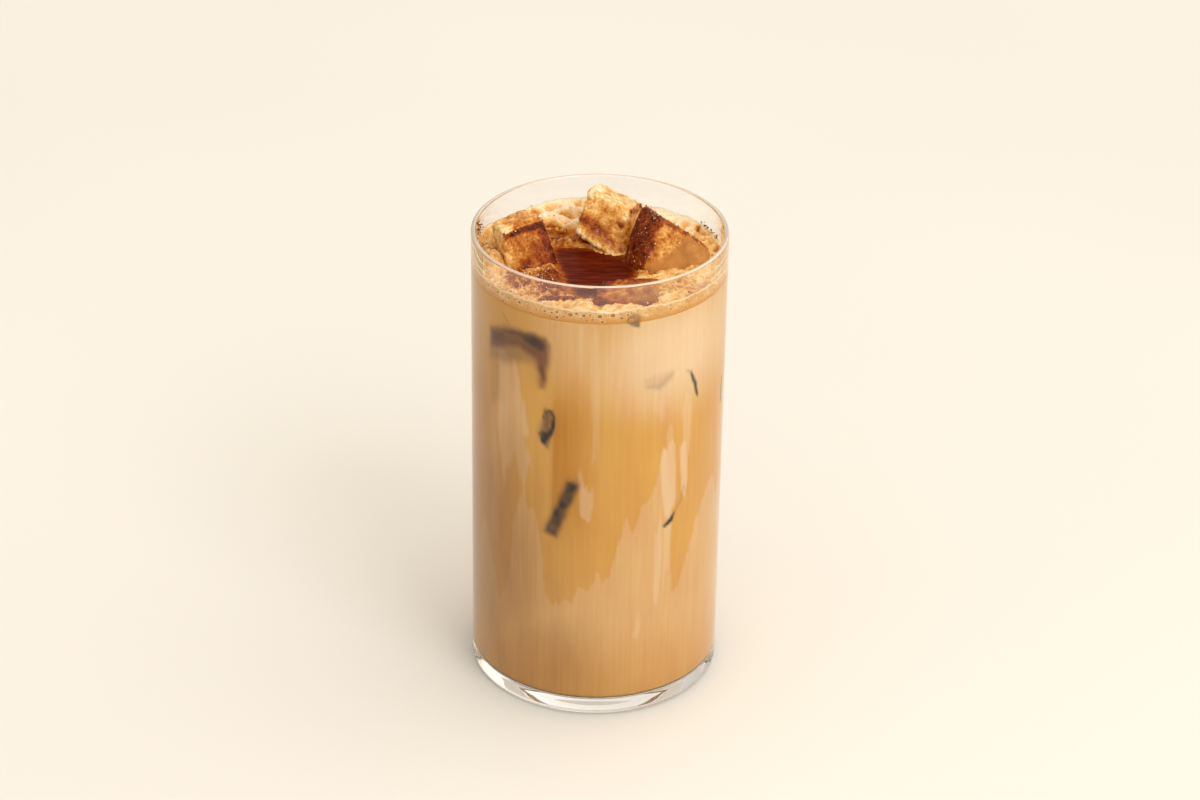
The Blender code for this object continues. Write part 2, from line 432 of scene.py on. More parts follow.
# %% Streaks of milk
FRONT_STREAKS = [
    ([(-42, 110), (-39, 112), (-34, 96), (-31.5, 88), (-34, 90), (-40, 92)], 0.55, 0.6),
    ([(-50, 116), (-44, 112), (-38, 98), (-31, 80), (-36, 72), (-40, 84), (-47, 71), (-52, 90)], 0.5, 0.6),
    ([(-57, 92), (-54, 95), (-50, 72), (-51, 50), (-56, 52)], 0.3, 0.6),
    ([(30.3, 84), (32, 88), (33.5, 86), (35, 88.5), (38.5, 86), (39.4, 78), (39.6, 69), (36, 64),
      (33.5, 66), (31.6, 72)], 0.8, 0.3),
    ([(40.8, 84), (42.6, 87.5), (44.4, 86.5), (46, 83), (46.4, 73), (44.6, 68), (42.6, 70.5)], 0.8, 0.25),
    ([(41.4, 98), (44.8, 101), (47.6, 98), (47.4, 84), (45.2, 80), (43.4, 86)], 0.45, 0.5),
    ([(33.5, 90), (34.6, 94), (36.8, 91), (36.8, 84), (34, 84)], 0.4, 0.3),
    ([(28.5, 60), (31.5, 63), (32.5, 48), (30.5, 34), (28.5, 37)], 0.55, 0.4),
    ([(33, 62), (37, 64), (36, 48), (33.5, 40)], 0.45, 0.4),
    ([(-3, 125), (0.5, 126), (1, 100), (0, 84), (-2, 84)], 0.3, 0.6),
    ([(-8.6, 126), (-6.8, 127), (-6.4, 112), (-7.8, 108)], 0.35, 0.4),
    ([(-8.2, 77), (-7.3, 84.5), (-6.3, 80), (-5.2, 77), (-3.6, 76.5), (-1.6, 76), (-1, 70), (-3, 64),
      (-7, 66)], 0.5, 0.3),
    ([(18, 27), (21, 34), (22, 30), (20, 26)], 0.5, 0.6),
    ([(24, 112), (27, 118), (31, 112), (34, 104), (31, 96), (27, 99)], 0.35, 1.2),
]

back_streaks = []
for _ in range(13):
    a = draw.uniform(88, 292)
    low = draw.uniform(38, 92)
    high = low + draw.uniform(14, 32)
    w = draw.uniform(1.2, 4.5)
    outline = [(a, low), (a + w, low + 6), (a + w * 0.9, high - 5), (a + w * 0.4, high)]
    outline += [(a - w * 0.5, high - 9), (a - w * 0.8, low + 9)]
    back_streaks.append((outline, draw.uniform(0.35, 0.8), 0.4))

frayed = (azimuth + 0.9 * ripple(wall_points, 1.2, 7, 10), height + torn)
streaks = np.zeros(len(azimuth))
for outline, strength, soft in FRONT_STREAKS + back_streaks:
    streaks = np.maximum(streaks, strength * patch(frayed, outline, soft))
print("streaks:", len(FRONT_STREAKS) + len(back_streaks))

# %% [markdown]
# The amber: coffee that hasn't met the milk yet. It is deepest in a column left of the
# middle, whose left side is sharp, and it is lightest at the top right, where the milk was
# poured. A browner umber lies low on the left, and it is painted shade as well: the side
# turned from the lamp is darkened in its colour. Gold fills the drink from a third of its
# height up, and a little of it at the lowest edge is a painted glow, for the light that
# enters by the foot. All are smooth fields over the wall: each area has an azimuth, a
# height, how far it reaches across and upwards in millimetres, and a strength.

# %% Amber and cream
AMBER_COLUMNS = [(-20, 82, 16, 30, 1.0), (118, 92, 20, 30, 0.8), (-132, 84, 24, 34, 0.9)]
CREAM_AREAS = [
    (38, 116, 34, 24, 1.0), (158, 112, 34, 24, 0.8), (-88, 116, 20, 20, 0.5), (-10, 122, 16, 18, 0.4),
]
# Umber areas are brown coffee and painted shade on the sides turned from the lamp.
UMBER_AND_SHADE_AREAS = [
    (-62, 48, 34, 50, 1.0), (-30, 14, 28, 26, 0.7), (20, 4, 40, 10, 0.15),
    (-78, 84, 18, 50, 0.6), (-42, 74, 8, 24, 0.5), (-176, 50, 24, 44, 0.7),
]


def ovals(areas, core):
    """The strongest of soft ovals at each point, full out to a share of their half sizes."""
    strongest = np.zeros(len(azimuth))
    for a, z, wide, tall, strength in areas:
        far = np.hypot(around(azimuth, a) / wide, (height - z) / tall)
        strongest = np.maximum(strongest, strength * (1 - soft_step(far, core, 1.1)))
    return strongest


amber = np.zeros(len(azimuth))
for a, z, wide, tall, strength in AMBER_COLUMNS:
    s = around(azimuth + 0.6 * ripple(wall_points, 2.0, 15, 12), a)
    across = soft_step(s, -1.0, 0.6) * (1 - soft_step(s, 0, wide))
    along = 1 - soft_step(np.abs(height - z), tall * 0.35, tall)
    amber = np.maximum(amber, strength * across * along)

cream = ovals(CREAM_AREAS, 0.2)
umber_and_shade = ovals(UMBER_AND_SHADE_AREAS, 0.3)
gold = soft_step(height + 5 * ripple(wall_points, 14, 3), 22, 52)
# A little gold at the lowest edge is a painted glow of the light that comes in through the foot.
gold = np.maximum(gold, 0.3 * (1 - soft_step(height, side_low / MM + 1, side_low / MM + 4)))
print("deepest amber:", round(float(amber.max()), 2), "most cream:", round(float(cream.max()), 2))

# %% [markdown]
# The sunk ice: only its edges and corners come near enough to the glass to show. A stroke
# is an edge that touches the wall, a bar is an edge broad enough to have an outline, and a
# face lies just behind the wall, seen through a film of milky coffee. The large corner at the
# upper left is warm brown rather than black, so it has an outline and a tone of its own.
# Where nothing is known, at the back, a few more lie by the seeded rule.
# A thin dark line at the drink's lowest edge is the shade under it, seen through the foot.

# %% Ice seen through the wall
ICE_EDGES = [
    ([(-53.5, 116.8, 1.3), (-48.5, 118.0, 1.0)], 1.0, 0.35),
    ([(-47, 120.2, 0.5), (-40, 121.0, 0.6), (-33, 121.2, 0.9)], 0.8, 0.5),
    ([(-34, 120.2, 0.9), (-30, 120.1, 1.7), (-26.6, 119.6, 1.4)], 0.8, 0.75),
    ([(-25.6, 112.4, 0.6), (-25.0, 109.2, 0.6)], 0.8, 0.5),
    ([(-25.2, 96.8, 0.2), (-23.6, 99.1, 0.35), (-21.0, 99.6, 0.4), (-19.7, 97.6, 0.5), (-20.3, 94.2, 0.7),
      (-22.2, 91.8, 0.9)], 0.35, 0.9),
    ([(44.3, 108.9, 0.25), (46.5, 108.3, 0.45)], 0.6, 0.45),
    ([(46.7, 107.7, 0.35), (49.7, 103.5, 0.65), (51.4, 99.4, 0.35)], 0.4, 1.0),
    ([(22.5, 107.6, 0.3), (28.5, 107.0, 0.6), (35.8, 109.8, 0.4)], 1.0, 0.2),
    ([(33.2, 61.0, 0.4), (37.0, 62.2, 0.75), (38.6, 64.4, 0.3)], 0.4, 1.0),
    ([(38, 63.5, 0.35), (42.7, 68, 0.35), (44, 72, 0.25)], 0.7, 0.3),
    ([(77, 97.5, 0.5), (76.5, 90.5, 0.6)], 0.5, 0.85),
    ([(-47.8, 125.4, 0.2), (-44.3, 122.8, 0.35)], 0.5, 0.3),
    ([(16.0, 129.0, 2.1), (17.9, 126.8, 0.3)], 0.5, 0.6),
]
ICE_FACES = [
    ([(-57, 118), (-24, 120), (-25, 111), (-31, 113), (-38, 112.5), (-46, 110), (-58, 108.5)], 2.0, 0.7),
    ([(-55, 116), (-49, 117), (-49, 98), (-55, 96)], 2.2, 0.35),
    ([(-24.6, 100.2), (-20.4, 100.0), (-21.2, 92), (-22.6, 87.6), (-25.6, 89), (-25, 94)], 0.9, 1.0),
    ([(-7.6, 78.4), (-13.2, 79.4), (-24.2, 60.6), (-18.2, 59.0)], 1.6, 0.5),
    ([(22, 110), (36, 111), (36, 108), (29, 106), (23, 107)], 1.4, 0.22),
]

back_edges = []
back_faces = []
for _ in range(7):
    a, z = draw.uniform(96, 276), draw.uniform(48, 118)
    lean, tall = draw.uniform(-9, 9), draw.uniform(5, 15)
    wide = draw.uniform(0.5, 1.7)
    back_edges.append(([(a, z, wide), (a + lean, z - tall, wide * 0.7)], 0.8, draw.uniform(0.7, 1.0)))
    face = [(a + 3, z + 1), (a - 3, z), (a + lean - 3, z - tall), (a + lean + 3, z - tall)]
    back_faces.append((face, 1.2, 0.4))

ICE_BARS = [
    ([(-7.5, 77.2), (-13.1, 78.0), (-24.0, 60.2), (-18.4, 59.4)], 1.0, 0.84),
    ([(-26, 96.4), (-24, 99.6), (-20, 100), (-19, 97.4), (-20, 92.7), (-22.5, 87.8), (-27.5, 90.3),
      (-27, 93.6)], 1.0, 0.3),
    ([(-27.5, 91.6), (-25.5, 92.8), (-22.5, 92.4), (-22, 90.4), (-23.5, 88.6), (-26, 89.3)], 0.6, 1.0),
]
BROWN_CORNER = [
    (-57, 118.6), (-47, 121.6), (-38, 122.1), (-29.5, 122.9), (-24, 122.2), (-22, 119.9),
    (-22, 115.3), (-23.5, 110.5), (-24.5, 106.3), (-27, 106.1), (-27.5, 109.8), (-28.5, 114.6),
    (-32.5, 115.8), (-38, 117), (-44.5, 115.8), (-50, 114), (-57, 112.5),
]


def ice_marks(side):
    """How dark the ice's edges and how hazy its faces are at each point of a side."""
    edges = np.zeros(len(side[0]))
    for outline, soft, strength in ICE_BARS:
        edges = np.maximum(edges, strength * patch(side, outline, soft))
    faces = np.zeros(len(side[0]))
    for line, soft, strength in ICE_EDGES + back_edges:
        edges = np.maximum(edges, strength * stroke(side, line, soft))
    for outline, soft, strength in ICE_FACES + back_faces:
        faces = np.maximum(faces, strength * patch(side, outline, soft))
    return edges, faces


wavy = (azimuth + 0.5 * ripple(wall_points, 2.5, 21), height + 0.4 * ripple(wall_points, 2.5, 22))
edges, faces = ice_marks(wavy)
edges *= 1.0 + 0.3 * ripple(wall_points, 2.2, 25)
# The lowest ring of the side is painted shade, the shade under the drink, added to the ice's dark edges.
lowest = drink_floor / MM
edges = np.maximum(edges, 0.8 * (1 - soft_step(height, lowest + 1.0, lowest + 1.6)))
for name, strengths in (
    ("milk", milk_rise * soft_step(height, 10, 34)),
    ("streak", streaks),
    ("amber", amber),
    ("cream", cream),
    ("gold", gold),
    ("umber_and_shade", umber_and_shade),
    ("ice_edge", np.clip(edges, 0, 1)),
    ("ice_face", faces),
    ("ice_brown", patch(wavy, BROWN_CORNER, 1.3)),
):
    give(drink, name, strengths)
print("ice edges:", len(ICE_EDGES) + len(back_edges), "ice faces:", len(ICE_FACES) + len(back_faces))

# %% [markdown]
# Milky coffee is a cloudy liquid: droplets of fat scatter the light, so it is matt and deep,
# with no shine of its own behind the glass. The index at the glass is nearly matched, so its
# specular level is almost nothing. The tones are mixed one over the other, from the milk
# coffee of the lower third to the dark of the ice. Upright noise of about 1 by 24 mm gives
# the fine threads that run down all of it, and noise of 7 by 24 mm gives broader bands.

# %% Milky coffee material
milky_coffee, tree, shader = new_material("milky_coffee", {
    "Roughness": 0.55, "Specular IOR Level": 0.05, "Subsurface Weight": 0.12,
    "Subsurface Radius": (1.0, 0.6, 0.3), "Subsurface Scale": 1.2 * MM,
})
DRINK_TONES = [
    ("gold", "#DEAA50", 1.0),
    ("amber", "#CB8A12", 1.0),
    ("cream", "#F2D9B4", 0.85),
    ("milk", "#E3BB80", 0.85),
    ("streak", "#EED3AE", 0.85),
    # The umber tone is partly painted shade.
    ("umber_and_shade", "#AC7226", 0.62),
    ("ice_face", "#8A5C38", 0.8),
    ("ice_brown", "#70350F", 0.82),
    ("ice_edge", "#140600", 1.0),
]
THREAD_WIDTH = 0.9 * MM
BAND_WIDTH = 7 * MM
THREAD_LENGTH = 24 * MM

place = add(tree, "TexCoord")
upright = []
for width in (THREAD_WIDTH, BAND_WIDTH):
    stretched = add(tree, "Mapping", {
        "Vector": place.outputs["Object"], "Scale": (1 / width, 1 / width, 1 / THREAD_LENGTH),
    })
    upright.append(add(tree, "TexNoise", {"Vector": stretched.outputs[0], "Scale": 1.0, "Detail": 3.0}))
threads, bands = upright
colour = linear("#DCAA62")
for name, tone, most in DRINK_TONES:
    amount = add(tree, "Attribute", attribute_name=name)
    strength = add(tree, "Math", {0: amount.outputs["Fac"], 1: most}, operation="MULTIPLY")
    mixed = add(tree, "Mix", {0: strength.outputs[0], 6: colour, 7: linear(tone)}, data_type="RGBA")
    colour = mixed.outputs[2]
lighter = add(tree, "ValToRGB", {0: threads.outputs["Fac"]}, [(0.3, 0.45), (0.7, 0.55)])
toned = add(tree, "Mix", {0: 0.6, 6: colour, 7: lighter.outputs[0]},
            data_type="RGBA", blend_type="OVERLAY")
wider = add(tree, "ValToRGB", {0: bands.outputs["Fac"]}, [(0.3, 0.43), (0.7, 0.57)])
shaded = add(tree, "Mix", {0: 0.5, 6: toned.outputs[2], 7: wider.outputs[0]},
             data_type="RGBA", blend_type="OVERLAY")
tree.links.new(shaded.outputs[2], shader.inputs["Base Color"])
dress(drink, milky_coffee, "milky_coffee", "latte")

# %% [markdown]
# ## The coffee in the middle
# Between the blocks the froth leaves dark coffee open. Its outline is close to the one that
# the solid has, given here as a few points in millimetres and smoothed. The froth needs it
# too, to know where it stops, so the outline comes first.

# %% The pool's outline
POOL_OUTLINE = [
    (-13.9, 8.0), (-13.9, 0.5), (-11.8, -9.0), (-10.0, -17.0), (-8.2, -22.6), (-4.6, -26.0),
    (-0.5, -24.2), (4.0, -20.0), (9.0, -14.0), (11.4, -8.5), (11.0, -3.0), (9.8, 2.0),
    (5.0, 5.2), (0.1, 7.0), (-4.2, 8.6), (-9.0, 8.8),
]


def smooth_ring(corners, steps):
    """A closed smooth curve through the corners."""
    corners = [Vector(p) for p in corners]
    count = len(corners)
    ring = []
    for i in range(count):
        before, here, after, next_one = (corners[(i + k) % count] for k in (-1, 0, 1, 2))
        for step in range(steps):
            t = step / steps
            bend = (after - before) * (t * (1 - t) ** 2) - (next_one - here) * (t * t * (1 - t))
            ring.append(here.lerp(after, t * t * (3 - 2 * t)) + bend / 2)
    return ring


pool_ring = smooth_ring(POOL_OUTLINE, 5)
print("pool outline:", len(pool_ring), "points")

# %% [markdown]
# Black coffee is clear and dark, a deep red brown with an index of 1.33. Still coffee would be
# a mirror, but a skin of crema and fine powder makes this one satin, so its roughness is 0.3
# and its specular level low. The skin is drawn out in swirls of about 6 by 1 mm, and it is
# orange near the shore.
# The surface is a square grid of points a little larger than the pool, as the froth covers
# its edge, and it has a thickness so that it is a closed solid. An extrusion can list its new
# sides in another order each run, so the faces are sorted by their place.

# %% Coffee
POOL_STEP = 0.6
POOL_SPREAD = 2.2
POOL_DEPTH = 1.2 * MM
POOL_RIPPLE = 0.05 * MM

grid_x = np.arange(-16.5, 19.0, POOL_STEP)
grid_y = np.arange(-29.0, 12.0, POOL_STEP)
cells_x, cells_y = np.meshgrid(grid_x, grid_y, indexing="ij")
flat_x, flat_y = cells_x.ravel(), cells_y.ravel()
shore = within(flat_x, flat_y, pool_ring).reshape(cells_x.shape)
ripples = ripple(np.stack([flat_x, flat_y * 3, 0 * flat_x], 1), 7, 31).reshape(cells_x.shape)
pool = bmesh.new()
corners = {}
for i in range(len(grid_x) - 1):
    for j in range(len(grid_y) - 1):
        if shore[i, j] < -POOL_SPREAD:
            continue
        square = ((i, j), (i + 1, j), (i + 1, j + 1), (i, j + 1))
        for key in square:
            if key not in corners:
                z = COFFEE_TOP + POOL_RIPPLE * ripples[key]
                corners[key] = pool.verts.new((cells_x[key] * MM, cells_y[key] * MM, z))
        pool.faces.new([corners[key] for key in square])
raised = bmesh.ops.extrude_face_region(pool, geom=pool.faces[:])
lowered = [v for v in raised["geom"] if isinstance(v, bmesh.types.BMVert)]
bmesh.ops.translate(pool, verts=lowered, vec=(0, 0, -POOL_DEPTH))
bmesh.ops.recalc_face_normals(pool, faces=pool.faces[:])


def by_place(face):
    """A number of its own for each face, from its middle in tenths of a millimetre."""
    x, y, z = (round(c / (0.1 * MM)) for c in face.calc_center_median())
    return (x * 1000 + y) * 10000 + z


pool.faces.sort(key=by_place)
coffee = from_bmesh("dark_coffee", pool, 40)
flat = np.array([v.co[:2] for v in coffee.data.vertices]) / MM
give(coffee, "shore", 1 - soft_step(within(flat[:, 0], flat[:, 1], pool_ring), 0.0, 3.5))

black_coffee, tree, shader = new_material("black_coffee", {
    "Roughness": 0.3, "IOR": 1.33, "Specular IOR Level": 0.05,
})
place = add(tree, "TexCoord")
specks = add(tree, "TexNoise", {
    "Vector": place.outputs["Object"], "Scale": 1 / (0.8 * MM), "Detail": 5.0,
})
near_shore = add(tree, "Attribute", attribute_name="shore")
crema = add(tree, "Math", {
    0: near_shore.outputs["Fac"], 1: specks.outputs["Fac"],
}, operation="MULTIPLY")
drawn_out = add(tree, "Mapping", {
    "Vector": place.outputs["Object"], "Scale": (1 / (6 * MM), 1 / (1.1 * MM), 1 / (6 * MM)),
})
swirls = add(tree, "TexNoise", {"Vector": drawn_out.outputs[0], "Scale": 1.0, "Detail": 3.0})
swirled = add(tree, "Math", {
    0: swirls.outputs["Fac"], 1: 0.5, 2: crema.outputs[0],
}, operation="MULTIPLY_ADD")
tint = add(tree, "ValToRGB", {0: swirled.outputs[0]}, [
    (0.17, linear("#460C02")), (0.27, linear("#5C1805")),
    (0.42, linear("#762C0A")), (0.75, linear("#B0601C")),
])
tree.links.new(tint.outputs[0], shader.inputs["Base Color"])
dress(coffee, black_coffee, "dark_coffee", "coffee")

# %% [markdown]
# ## The froth
# The collar of froth is a height over a disc: flat inside, curled up where it clings to the
# wall, lumpy all over, and sunk below the coffee where the pool is open. The coffee then
# meets it along an uneven shore with no cutting. Behind the blocks the lumps are larger, and
# the brim is wavy and highest at the left. Rings of points lie closer near the wall, where
# the curl is. Each heap has a place, two half sizes and a height, in millimetres.

# %% The froth's body
FROTH_LEVEL = 130.6
FROTH_AT_WALL = 132.4
FROTH_CURL = 3.2
FROTH_COLUMNS = 600
FROTH_RADIUS = (drink_radius + 0.01 * MM) / MM
HIGHER_AT_LEFT = 1.5
SWELL_HEIGHT = 0.5
FOAM_HEIGHT = 0.34
LUMP_HEIGHT = 1.7
EQUAL_RINGS = 110
BRIM_RINGS = 12
SIDE_RINGS = 14
POOL_FLOOR = 128.9
FROTH_HEAPS = [
    (-21, -14, 7, 7, 0.9), (-30, -4, 6, 11, 5.0), (-28, 8, 6, 6, 1.4), (-8, 9, 6, 5, 1.2),
    (27, -9, 9, 6, 0.9), (6, -32.5, 15, 4.5, 1.5), (19.5, -24, 5, 9, 1.6), (-4, -29, 4, 4, 1.0),
    (-15, 23, 5, 4, 2.0), (-8, 28, 5, 3.5, 2.2), (-21, 17, 4, 4, 1.4), (-1, 31, 4, 3, 1.6),
    (20, 24, 10, 8, 1.2), (29, 12, 4, 6, 1.6),
]

froth_rings = [FROTH_RADIUS * math.sqrt(i / EQUAL_RINGS) for i in range(5, 100)]
froth_rings += list(np.linspace(froth_rings[-1] + 0.25, FROTH_RADIUS, BRIM_RINGS))
froth_side = np.linspace(FROTH_AT_WALL, DRINK_TOP / MM - 0.02, SIDE_RINGS)[1:]
froth_profile = [(0.0, FROTH_LEVEL * MM)]
froth_profile += [(r * MM, FROTH_LEVEL * MM) for r in froth_rings]
froth_profile += [(FROTH_RADIUS * MM, z * MM) for z in froth_side]
froth_profile += [(0.0, froth_side[-1] * MM)]
froth = turned("milk_froth", froth_profile, FROTH_COLUMNS)


def foam_relief(points):
    """Curled crests and lumps of about 1 to 2 mm, from about -1 to 1."""
    crests = 0.5 - 3 * np.abs(ripple(points, 2.3, 6))
    return 0.8 * crests + 0.6 * ripple(points, 1.2, 8) + 0.4 * ripple(points, 0.7, 9)


def back_lumps(points):
    """Larger lumps where the froth stands higher, behind the blocks."""
    return soft_step(points[:, 1], 11, 17) * (0.5 - 3.0 * np.abs(ripple(points, 3.6, 26)))


def froth_height(x, y):
    """The froth's height in mm over points of the disc."""
    r = np.hypot(x, y)
    flat_points = np.stack([x, y, 0 * x], axis=1)
    share = np.clip((FROTH_RADIUS - r) / FROTH_CURL, 0, 1)
    at_left = 1 - soft_step(np.abs(around(np.degrees(np.arctan2(x, -y)), -98)), 3, 16)
    cling = FROTH_AT_WALL + HIGHER_AT_LEFT * at_left + 1.1 * ripple(flat_points, 7.0, 27)
    cling += 0.4 * ripple(flat_points, 2.0, 28)
    z = FROTH_LEVEL + (cling - FROTH_LEVEL) * (1 - share) ** 2
    for cx, cy, wide, deep, high in FROTH_HEAPS:
        far = np.hypot((x - cx) / wide, (y - cy) / deep)
        z += high * (1 - soft_step(far, 0.1, 1.2)) * share
    inner = soft_step(FROTH_RADIUS - r, 0.2, 1.5)
    z += SWELL_HEIGHT * ripple(flat_points, 5.5, 5) + FOAM_HEIGHT * inner * foam_relief(flat_points)
    z += LUMP_HEIGHT * inner * back_lumps(flat_points)
    depth = within(x, y, pool_ring) + 0.8 * ripple(flat_points, 3.0, 12)
    depth += 0.5 * ripple(flat_points, 1.1, 13)
    return z + (POOL_FLOOR - z) * soft_step(depth, -0.4, 1.6)


top_count = 1 + len(froth_rings) * FROTH_COLUMNS
froth_points = np.empty(len(froth.data.vertices) * 3)
froth.data.vertices.foreach_get("co", froth_points)
froth_points = froth_points.reshape(-1, 3)
top_points = froth_points[:top_count] / MM
froth_points[:top_count, 2] = froth_height(top_points[:, 0], top_points[:, 1]) * MM
brim = froth_points[top_count - FROTH_COLUMNS:top_count, 2]
side_points = froth_points[top_count:-1].reshape(-1, FROTH_COLUMNS, 3)
share_down = np.linspace(0, 1, len(froth_side) + 1)[1:, None]
side_points[:, :, 2] = brim + (froth_side[-1] * MM - brim) * share_down
froth.data.vertices.foreach_set("co", froth_points.ravel())
froth.data.update()
print("froth brim from", round(brim.min() / MM, 2), "to", round(brim.max() / MM, 2), "mm")

# %% [markdown]
# Froth is many small bubbles in a film of milk and coffee: satin, pale where it is thick and
# golden where the coffee shows through. Powder and crema have turned it brown in front of
# the left block and behind the pool, so those areas are marked on its points as well: a
# place, two half sizes in millimetres, and a strength that is below zero where it is brown.
# Some marks are painted light: a thin dark line in front at the left is a painted shadow
# along a crack, a small pale spot behind at the left and a pale ring along the brim are
# painted highlights, and the relief is painted into the colour as shade, paler on the
# crests and darker in the hollows.

# %% Froth colours
TONE_AND_LIGHT_AREAS = [
    (-19, -14, 10, 11, -1.0), (-12, -15, 6, 13, -1.5), (-8, 10, 9, 8, -1.1),
    (-30, 3, 8, 14, -0.4), (-13, 17, 5, 6, -1.0),
    (11, -5, 7, 7, -0.9), (-10, 29, 12, 10, 0.9), (22, 27, 16, 11, 1.2), (24, -20, 8, 9, -0.5),
    # In the next line, the thin dark area is a painted shadow along a crack, and the last, pale one a
    # painted highlight.
    (4, -34, 15, 3.0, 0.2), (-10.5, -25.5, 7, 1.4, -1.8), (-24, -12, 3, 5, -1.0), (-14, 24, 5, 4, 0.6),
]

all_points = froth_points / MM
fx, fy, fz = all_points.T
noisy = 0.22 * ripple(all_points, 2.4, 17)


def area_sum(x, y, places):
    """Adds up soft, ragged areas: how pale, or below zero how brown, the froth is, painted light and shade
    among them.
    """
    total = np.zeros(len(x))
    for cx, cy, wide, deep, strength in places:
        far = np.hypot((x - cx) / wide, (y - cy) / deep)
        total += strength * (1 - soft_step(far + noisy, 0.45, 1.15))
    return total


froth_edges = ice_marks(unrolled(froth))[0]
on_side = np.hypot(fx, fy) > FROTH_RADIUS - 0.3
tone = area_sum(fx, fy, TONE_AND_LIGHT_AREAS)
tone = np.where(on_side, 0.25 * tone, tone)
# A pale ring along the brim, where the froth meets the wall, is a painted highlight.
painted_brim_highlight = soft_step(np.hypot(fx, fy), FROTH_RADIUS - 1.0, FROTH_RADIUS - 0.3) * (fz > brim.min() / MM - 0.1)
tone += 0.9 * painted_brim_highlight * (np.arange(len(fx)) < top_count + FROTH_COLUMNS)
give(froth, "tone", tone)
flat_points = all_points * (1, 1, 0)
# The relief is stored for the colour as well, where it is painted shade: crests paler, hollows darker.
relief = foam_relief(flat_points) * (1 - 0.4 * np.clip(tone, 0, 1)) + 2.2 * back_lumps(flat_points)
give(froth, "relief", relief * ~on_side)
give(froth, "ice_edge", froth_edges * on_side)
give(froth, "low", 1 - soft_step(fz, 128.4, 130.6))

milk_foam, tree, shader = new_material("milk_foam", {
    "Roughness": 0.4, "IOR": 1.33, "Specular IOR Level": 0.15, "Subsurface Weight": 0.1,
    "Subsurface Radius": (1.0, 0.6, 0.3), "Subsurface Scale": 0.5 * MM,
})
place = add(tree, "TexCoord")
cells = add(tree, "TexVoronoi", {"Vector": place.outputs["Object"], "Scale": 1 / (0.8 * MM)})
grain = add(tree, "TexNoise", {"Vector": place.outputs["Object"], "Scale": 1 / (0.8 * MM), "Detail": 5.0})
clouds = add(tree, "TexNoise", {"Vector": place.outputs["Object"], "Scale": 1 / (3.0 * MM), "Detail": 4.0})
lean = add(tree, "Attribute", attribute_name="tone")
painted_relief_shade = add(tree, "Attribute", attribute_name="relief")
value = 0.12
for source, share in ((grain.outputs["Fac"], 0.5), (clouds.outputs["Fac"], 0.45),
                      (lean.outputs["Fac"], 0.26), (painted_relief_shade.outputs["Fac"], 0.16)):
    value = add(tree, "Math", {0: source, 1: share, 2: value}, operation="MULTIPLY_ADD").outputs[0]
foam_tone = add(tree, "ValToRGB", {0: value}, [
    (0.1, linear("#7A2A06")), (0.27, linear("#B0611C")), (0.42, linear("#D69C4C")),
    (0.55, linear("#EBB86E")), (0.72, linear("#F8D69C")), (0.9, linear("#FFEBCA")),
])
colour = foam_tone.outputs[0]
for name, tint in (("low", "#DE9C3C"), ("ice_edge", "#7A4520")):
    amount = add(tree, "Attribute", attribute_name=name)
    mixed = add(tree, "Mix", {0: amount.outputs["Fac"], 6: colour, 7: linear(tint)}, data_type="RGBA")
    colour = mixed.outputs[2]
tree.links.new(colour, shader.inputs["Base Color"])
bump = add(tree, "Bump", {"Height": cells.outputs["Distance"], "Strength": 0.6, "Distance": 0.25 * MM})
tree.links.new(bump.outputs[0], shader.inputs["Normal"])
dress(froth, milk_foam, "milk_froth", "froth")

# %% [markdown]
# ## The ice
# Each block is a melted cube: a cube with rounded edges, carried to the block's own eight
# corners. They are the solid's, but for the left block's foot: hidden in the froth, it lies
# about 3 mm further forward, so that the face above it shows larger. A cube's grid is used
# rather than a sphere, because its lines run along the block's edges, where the rounding
# needs them. Soft waves then bend the faces as melting does, and fine ones make them as
# grainy as ice with powder frozen on it.

# %% The blocks' corners
ICE_BLOCKS = {
    "ice_left": (
        ((-26.8, -7.8, 142.6), (-15.9, 2.0, 142.6), (-21.0, 7.9, 142.6), (-31.0, -1.8, 142.6)),
        ((-24.2, -14.6, 117.4), (-6.8, -6.0, 117.4), (-15.2, 11.0, 117.4), (-30.4, 2.6, 117.4)),
        3,
    ),
    "ice_back": (
        ((-3.5, 16.0, 145.0), (9.2, 10.9, 140.1), (12.8, 24.2, 136.4), (-0.2, 28.6, 141.0)),
        ((-7.2, 7.3, 134.6), (6.5, 1.7, 127.4), (9.3, 14.3, 123.2), (-4.5, 19.9, 130.4)),
        11,
    ),
    "ice_right": (
        ((16.1, -0.2, 145.2), (32.3, -0.4, 134.1), (26.7, 14.0, 127.6), (11.3, 7.2, 145.2)),
        ((8.1, -11.8, 120.6), (27.5, -9.5, 120.0), (22.2, 7.9, 116.9), (2.4, -4.0, 120.6)),
        7,
    ),
    "ice_front": (
        ((-2.7, -31.3, 131.7), (16.9, -27.8, 131.7), (17.6, -12.3, 132.0), (0.3, -15.2, 131.5)),
        ((-1.8, -29.2, 119.3), (14.7, -26.1, 119.3), (15.2, -16.8, 120.3), (0.8, -17.9, 120.3)),
        5,
    ),
}
ICE_CUTS = 64
ICE_GRID_SPREAD = 1.25
ICE_ROUNDING = 10.0


def towards_edge(c):
    """Moves a grid line of the unit cube nearer its edge, where the rounding needs it."""
    return math.copysign(0.5 - 0.5 * (1 - 2 * abs(c)) ** ICE_GRID_SPREAD, c)


def between(corners, p):
    """A point of the unit cube, carried to the block that its eight corners span."""
    top, foot = corners
    u, v, w = p.x + 0.5, p.y + 0.5, p.z + 0.5
    rings = []
    for front_left, front_right, back_right, back_left in (foot, top):
        front = Vector(front_left).lerp(Vector(front_right), u)
        back = Vector(back_left).lerp(Vector(back_right), u)
        rings.append(front.lerp(back, v))
    return rings[0].lerp(rings[1], w)


